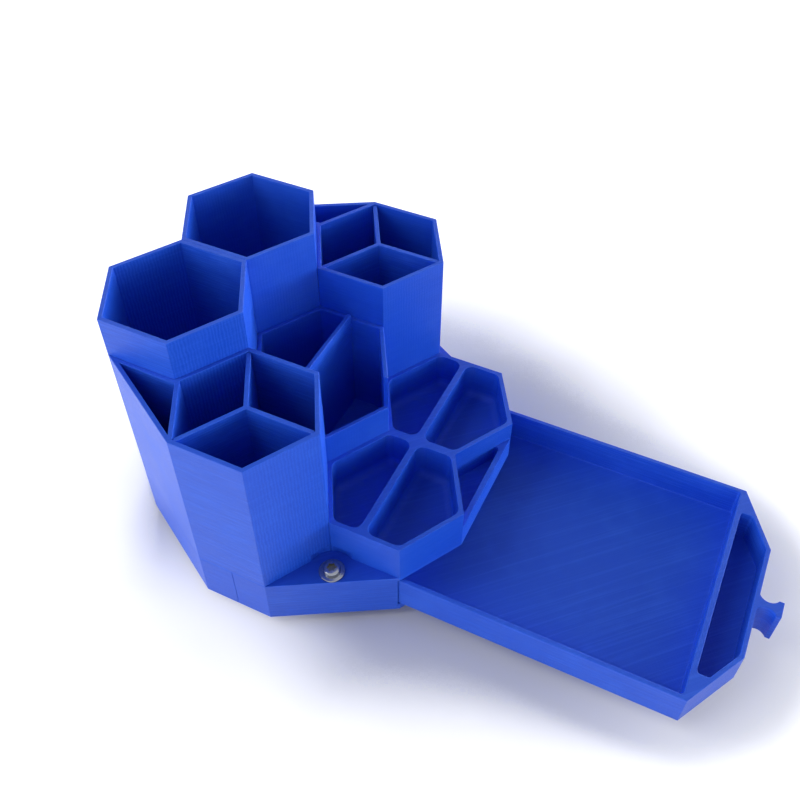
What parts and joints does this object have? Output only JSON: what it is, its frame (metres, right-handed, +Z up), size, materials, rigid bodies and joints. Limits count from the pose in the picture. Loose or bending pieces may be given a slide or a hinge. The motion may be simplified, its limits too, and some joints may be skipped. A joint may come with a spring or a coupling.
{
  "type": "rotating desk organizer with drawers",
  "caption": "Turning desk organiser of tall and low hexagonal cells on a twelve-sided base with a pull-out drawer.",
  "frame": {"origin": "on the table, at the turning axis: centre of the underside of the rubber foot pad", "axes": "+Z up along the turning axis; the drawer opens towards -Y; +X is the right-hand side seen from the drawer"},
  "size_m": [0.18, 0.3138, 0.132],
  "materials": {
    "blue_print": "layered print, satin",
    "steel": "zinc plated",
    "ball_steel": "polished",
    "cage_plastic": "moulded",
    "foot_rubber": "matt"
  },
  "bodies": {
    "foot": {"foot_pad": "foot_rubber", "foot_disc": "blue_print", "bearing_balls": "ball_steel", "ball_cage": "cage_plastic", "pivot_cap": "blue_print", "pivot_screw": "steel", "pivot_nut": "steel"},
    "organizer": {"base_floor": "blue_print", "base_front": "blue_print", "base_rear": "blue_print", "base_dowels": "steel", "deck_screws": "steel", "deck_washers": "steel", "deck_nuts": "steel", "low_bins": "blue_print", "centre_cell": "blue_print", "centre_divider": "blue_print", "left_cell": "blue_print", "left_star_divider": "blue_print", "right_cell": "blue_print", "right_star_divider": "blue_print", "rear_left_cell": "blue_print", "rear_right_cell": "blue_print"},
    "drawer": {"drawer_tray": "blue_print"}
  },
  "joints": [
    {"name": "turntable", "type": "hinge", "parent": "foot", "child": "organizer", "pos_m": [0, 0, 0], "axis": [0, 0, 1], "continuous": true},
    {"name": "drawer_slide", "type": "slide", "parent": "organizer", "child": "drawer", "axis": [0, 1, 0], "range_m": [0, 0.1299]}
  ]
}
